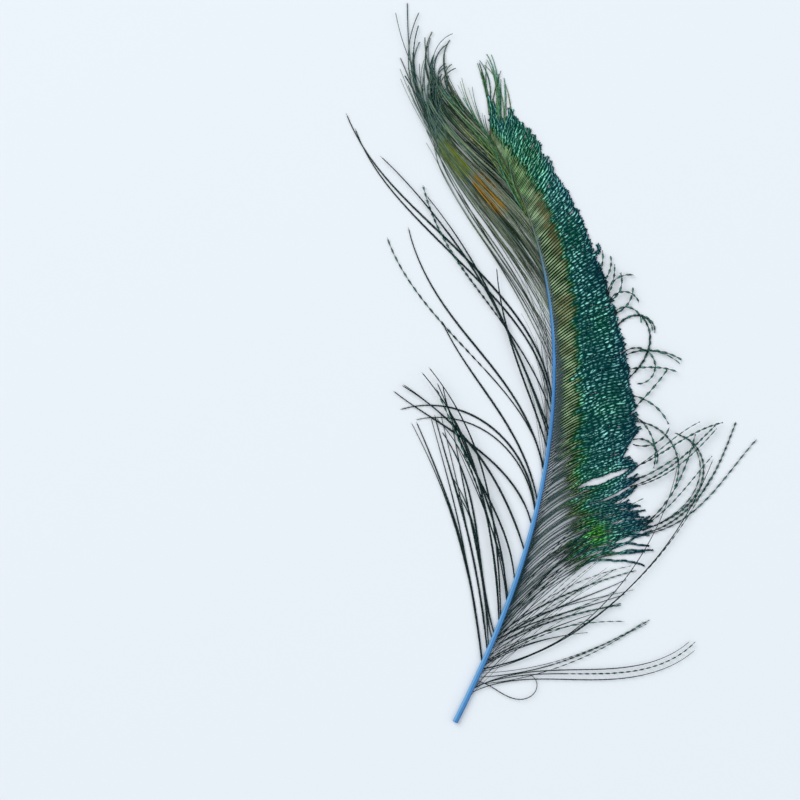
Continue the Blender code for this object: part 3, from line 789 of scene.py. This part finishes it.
# the two loose sets: the spread of their companions, how thick the barbs are, how many of them turn over as
# they go, and the same for the fine barbs between them
looseSets = (
    {
        "name": "innerLoose", "key": "inner", "node": "inner_barb", "side": 1,
        "spread": (1.6, 12, 1.6, 3, 3, 0.3), "thick": 1.1, "turning": 0.07,
        "fine": "hatch", "fineThick": (0.22, 0.22), "fineTurning": 0.0,
    },
    {
        "name": "baseLoose", "key": "base", "node": "base_barb", "side": -1,
        "spread": (2.0, 9, 3, 5, 5, 0.3), "thick": 0.72, "turning": 0.75,
        "fine": "over", "fineThick": (0.25, 0.55), "fineTurning": 0.35,
    },
)
for looseSet in looseSets:
    key, nodeName, side = looseSet["key"], looseSet["node"], looseSet["side"]
    rows, extra = withCompanions(loose[key], 2, looseSet["spread"])
    kept = ~extra | (rows[:, 0] < 62) | (np.arange(len(rows)) % 6 == 1)  # few companions away from the cut
    rows, extra = rows[kept], extra[kept]
    thick = np.where(extra, rng.uniform(0.55, 0.95, len(rows)), 1.0) * looseSet["thick"]
    turning = (rng.random(len(rows)) < looseSet["turning"]).astype(float)
    fine = evenRows(loose[looseSet["fine"]])
    if key == "base":
        fine = np.concatenate([fine, loose["curl"]])
    rows = np.concatenate([rows, fine])
    thick = np.append(thick, np.linspace(*looseSet["fineThick"], len(fine)))
    turning = np.append(turning, rng.random(len(fine)) < looseSet["fineTurning"])
    place = np.clip(rows[:, 0], 6, 275)
    startHeight = 0.5 * shaft["heightRatio"] * shaftWidth(place) + 0.1
    shape = (rows[:, 1], rows[:, 3], rows[:, 4], np.maximum(rows[:, 5], 0))
    barbs = looseBarbs(besideShaft(place, side), headingAt(place) + rows[:, 2], shape, startHeight, loose,
                       thick, turning, 0.4)
    piece = barbPiece(looseSet["name"], barbs, looseFinish)
    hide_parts(*(f"{nodeName}_{i:02d}" for i in range(1, len(loose[key]) + 1)))

# free ends past the outer edge, and the points of the tuft, start a little inside the web
endSets = (
    {
        "name": "strayEnds", "key": "strays", "node": "stray_end", "companions": 1,
        "spread": (1.2, 5, 3, 6, 6, 0.3), "inside": 3.0, "turning": 0.95,
        "finish": looseFinish, "slot": "loose_barb",
    },
    {
        "name": "tuftPoints", "key": "tuftPoints", "node": "tuft_point", "companions": 4,
        "spread": (2.4, 4, 5, 6, 8, 0.3), "inside": 5.0, "turning": 0.1,
        "finish": tuftFinish, "slot": "iridescent_web",
    },
)
for endSet in endSets:
    key, nodeName, slotName = endSet["key"], endSet["node"], endSet["slot"]
    rows, extra = withCompanions(loose[key], endSet["companions"], endSet["spread"])
    if key == "strays":
        rows = np.concatenate([rows, loose["loops"]])
        extra = np.append(extra, np.zeros(len(loose["loops"]), bool))

    # where the web's barbs end at these places
    place = np.clip(rows[:, 0], 46, 276)
    length, leave, turn = blend(outerWeb["barbs"], place)
    t = np.linspace(0, 1, 25)
    headings = (headingAt(place) - leave)[:, None] + turn[:, None] * t
    tips = walk(headings, length / 24) + besideShaft(place, -1)[:, None]
    tips = tips + outerPush(place, t, outerWeb)[..., None] * alongShaft(place)[:, None]

    angle = np.radians(rows[:, 2])
    start = tips[:, -1] - endSet["inside"] * np.stack([np.cos(angle), np.sin(angle)], -1)
    startHeight = np.full(len(rows), 0.9)
    thick = np.where(extra, rng.uniform(0.55, 0.8, len(rows)), 1.0)
    turning = (rng.random(len(rows)) < endSet["turning"]).astype(float)
    lengths = rows[:, 1] + endSet["inside"] + 1
    if key == "tuftPoints":
        crest = evenRows(loose["crest"])
        place = np.clip(crest[:, 0], 200, 276.5)
        crest[:, 1] *= 1 - 0.3 * smooth(268, 246, place)
        aside = acrossShaft(place, 1) * rng.uniform(0, 1.2, len(place))[:, None]
        start = np.concatenate([start, besideShaft(place, 1) + aside])
        lengths = np.append(lengths, crest[:, 1])
        crest[:, 2] += headingAt(place)
        rows = np.concatenate([rows, crest])
        startHeight = np.append(startHeight, rng.uniform(0.9, 1.5, len(place)))
        thick = np.append(thick, rng.uniform(0.35, 0.75, len(place)))
        turning = np.append(turning, 0 * place)
    shape = (lengths, rows[:, 3], rows[:, 4], np.maximum(rows[:, 5], 0))
    barbs = looseBarbs(start, rows[:, 2], shape, startHeight, loose, thick, turning, 0.05)
    if key == "tuftPoints":
        barbs["zone"] = barbs["zone"] + rng.uniform(0.3, 0.9, len(rows))[:, None]
        barbs["glint"] = barbs["glint"] + rng.uniform(0.1, 0.9, len(rows))[:, None]
    piece = barbPiece(endSet["name"], barbs, endSet["finish"])
    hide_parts(*(f"{nodeName}_{i:02d}" for i in range(1, len(loose[key]) + 1)))
print("loose barbs made")


# the shaft: sections along its line, each a rounded square (cosine and sine to a power below 1) with a soft
# ridge on its back and its foot cut flat, narrowing to the tip, and a hollow of pith in the cut end
def shaftPiece(group, material):
    inner = 1 - group["wall"]
    rest = np.linspace(0.5, group["length"], group["rings"])
    places = np.concatenate([[group["pithDepth"]] * 2, [0.0, 0.0, 0.06], rest])
    scale = np.concatenate([[0.01, inner, inner, 0.95, 1.0], np.ones(group["rings"])])
    angle = np.linspace(0, 2 * np.pi, group["sides"], endpoint=False)
    out = 0.5 * np.sign(np.cos(angle)) * np.abs(np.cos(angle)) ** group["roundness"]
    up = 0.5 + 0.5 * np.sign(np.sin(angle)) * np.abs(np.sin(angle)) ** group["roundness"]
    rise, breadth = group["ridge"]
    up = up + rise * np.exp(-((out / breadth) ** 2)) * (up > 0.6) - 0.03
    width = shaftWidth(places)
    across = acrossShaft(places, -1)
    flat = shaftPoint(places)[:, None] + across[:, None] * (out * (width * scale)[:, None])[..., None]
    middle = 0.5 + (up - 0.5) * scale[:, None]
    height = np.maximum(middle * (width * group["heightRatio"])[:, None], 0)
    points = np.concatenate([flat, height[..., None]], -1)
    rings, sides = points.shape[:2]
    ids = np.arange(rings * sides).reshape(rings, sides)
    right = np.roll(ids, -1, axis=1)
    walls = np.stack([ids[:-1], ids[1:], right[1:], right[:-1]], -1).reshape(-1, 4)
    capIds = np.concatenate([ids[:1], ids[-1:, ::-1]])
    ringShare = np.arange(rings) / (rings - 1)
    sideShare = 1 - np.abs(2 * np.arange(sides) / sides - 1) * 0.98
    uv = np.stack(np.broadcast_arrays(ringShare[:, None] * 0.98 + 0.01, sideShare[None, :]), -1)
    # side: where a point lies across the shaft, for the ramp that paints a highlight on one flank and shade
    # on the other; the painted highlight swaps flanks between places 155 and 185, and bump moves the painted
    # shade across between places 112 and 188
    bump = smooth(112, 140, places) * smooth(188, 165, places)
    numbers = {
        "zone": np.repeat(smooth(178, 240, places), sides),
        "side": (out * (1 - 2 * smooth(155, 185, places))[:, None] + 0.22 * bump[:, None]).ravel(),
        "cut": np.repeat(np.arange(rings) < 4, sides).astype(float),
    }
    return newPiece("dyedShaft", points.reshape(-1, 3), [walls, capIds], [False, True], uv.reshape(-1, 2),
                    numbers, material)


def shaftMaterial():
    sheet = Sheet("dyedShaft")
    zone, side, cut = sheet.number("zone"), sheet.number("side"), sheet.number("cut")
    streaks = sheet.noise(420, 4)
    across = side + 0.5 + (streaks - 0.5) * 0.16
    # the blue ramp, and the olive one towards the tip, paint a highlight on one flank and shade on the other
    # across the shaft, with noise streaks
    blue = sheet.ramp(across, (
        (0.0, (0.120, 0.330, 0.600)), (0.26, (0.115, 0.340, 0.620)), (0.50, (0.026, 0.175, 0.420)),
        (0.70, (0.046, 0.225, 0.540)), (0.84, (0.010, 0.140, 0.370)), (1.0, (0.004, 0.100, 0.290)),
    ))
    olive = sheet.ramp(across, (
        (0.0, (0.130, 0.200, 0.100)), (0.45, (0.120, 0.190, 0.080)), (0.75, (0.030, 0.045, 0.035)),
        (1.0, (0.015, 0.025, 0.022)),
    ))
    colour = sheet.mix(zone, blue, olive)
    colour = sheet.mix(cut * 0.75, colour, (0.35, 0.52, 0.72))
    normal = sheet.bump(streaks, 0.15, 0.0004)
    return sheet.finish(**{"Base Color": colour, "Roughness": 0.42 + 0.12 * streaks, "Normal": normal})


piece = shaftPiece(shaft, shaftMaterial())
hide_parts("shaft")
print("shaft made")

stage = {"floor": (0.772, 0.810, 0.850), "size": 6.0, "field": 0.36, "lens": 200.0}
cutEnd = np.append(shaftPoint(0.0), 0) - origin
middle = cutEnd + np.array([-24.75, 144.9, 0])

floorMesh = bpy.data.meshes.new("floor")
reach = stage["size"] / 2
corners = [(-reach, -reach, 0), (reach, -reach, 0), (reach, reach, 0), (-reach, reach, 0)]
floorMesh.from_pydata(corners, [], [(0, 1, 2, 3)])
floor = bpy.data.objects.new("floor", floorMesh)
bpy.context.scene.collection.objects.link(floor)
sheet = Sheet("floorPaper")
floorMesh.materials.append(sheet.finish(**{"Base Color": stage["floor"], "Roughness": 0.9}))

camera = bpy.data.objects.new("camera", bpy.data.cameras.new("camera"))
camera.data.lens = stage["lens"]
camera.data.sensor_width = 36
camera.location = (middle[0] * mm, middle[1] * mm, stage["field"] * stage["lens"] / 36)
bpy.context.scene.collection.objects.link(camera)
bpy.context.scene.camera = camera


def softLight(name, location, size, power, colour):
    light = bpy.data.lights.new(name, "AREA")
    light.size, light.energy, light.color = size, power, colour
    lamp = bpy.data.objects.new(name, light)
    lamp.location = location
    spot = np.array(location)
    tilt = math.atan2(math.hypot(spot[0], spot[1]), spot[2])
    lamp.rotation_euler = (tilt, 0, math.atan2(spot[0], -spot[1]))
    bpy.context.scene.collection.objects.link(lamp)


lights = {"key": 84.0, "fill": 44.0, "sky": 0.54}
softLight("keyLight", (-1.8, 1.8, 2.6), 3.0, lights["key"], (1.0, 0.985, 0.96))
softLight("fillLight", (2.0, -0.9, 2.6), 3.6, lights["fill"], (0.93, 0.97, 1.0))
world = bpy.data.worlds.new("studio")
world.use_nodes = True
world.node_tree.nodes["Background"].inputs[0].default_value = (0.90, 0.95, 1.0, 1)
world.node_tree.nodes["Background"].inputs[1].default_value = lights["sky"]
bpy.context.scene.world = world
bpy.context.scene.view_settings.view_transform = "Standard"
